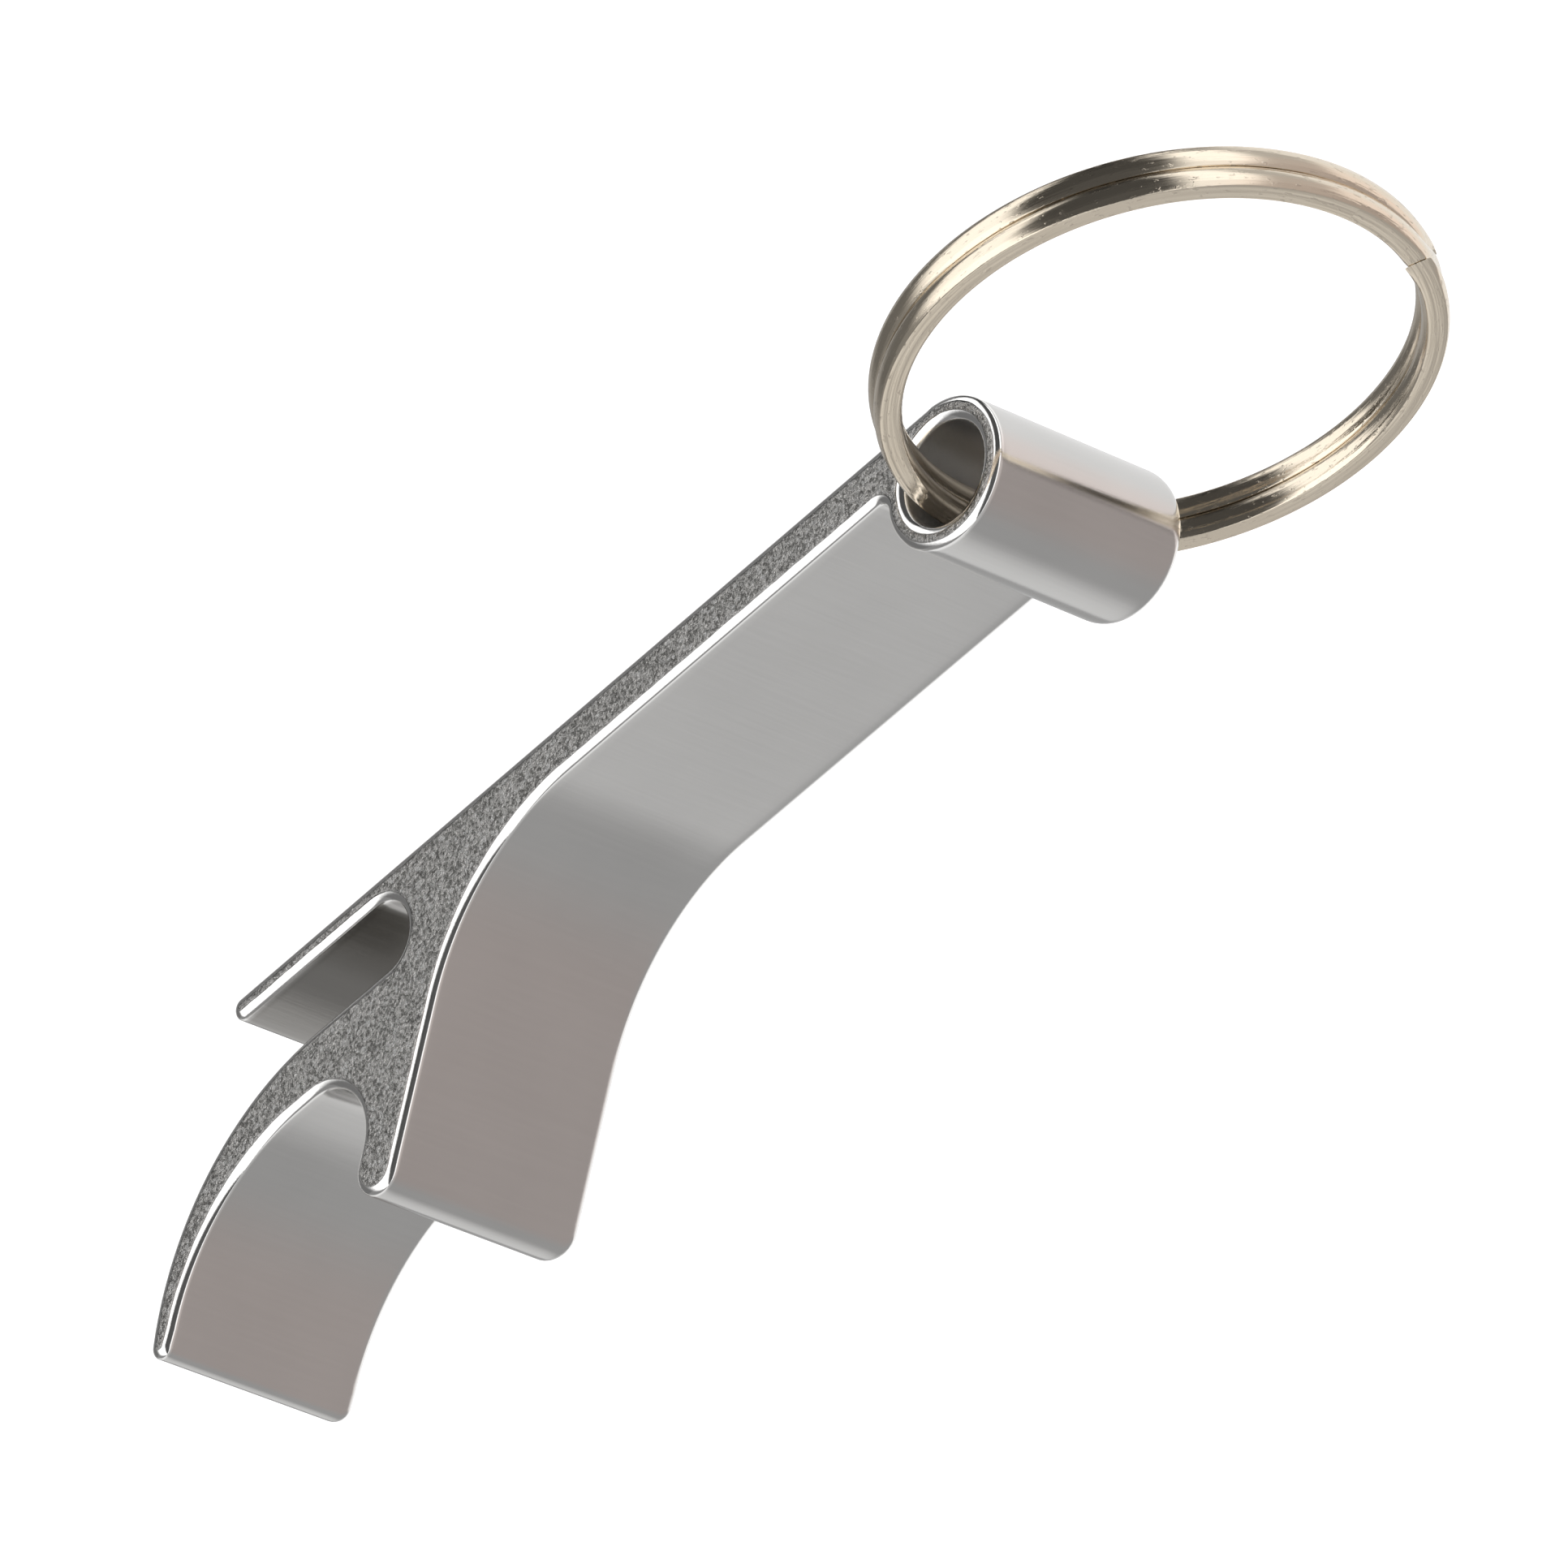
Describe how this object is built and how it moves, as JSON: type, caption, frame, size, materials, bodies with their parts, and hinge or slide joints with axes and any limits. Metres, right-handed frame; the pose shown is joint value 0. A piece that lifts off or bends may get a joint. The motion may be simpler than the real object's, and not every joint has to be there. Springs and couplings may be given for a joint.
{
  "type": "keychain bottle opener",
  "caption": "Keychain bottle opener: a short extruded bar with a hooked crown-cap jaw and a can-tab prong at one end, and a split ring in a cross tube at the other.",
  "frame": {"origin": "middle of the straight flat back, which the opener lies on: half way between the ring tube's axis and the can-tab prong's tip, and half way across the width", "axes": "+X along the back from the ring tube to the hook, +Y across the width along the tube's bore, +Z away from the back towards the side that the tooth and hook lean to"},
  "size_m": [0.0783, 0.0249, 0.0145],
  "materials": {
    "opener_aluminium": "tumbled satin, silver anodised",
    "ring_nickel": "polished nickel plate"
  },
  "bodies": {
    "opener": {"opener_body": "opener_aluminium"},
    "ring": {"split_ring": "ring_nickel"}
  },
  "joints": [
    {"name": "ring_swing", "type": "hinge", "parent": "opener", "child": "ring", "pos_m": [-0.0231, 0, 0.0035], "axis": [0, 1, 0], "range_deg": [-165, 178]}
  ]
}
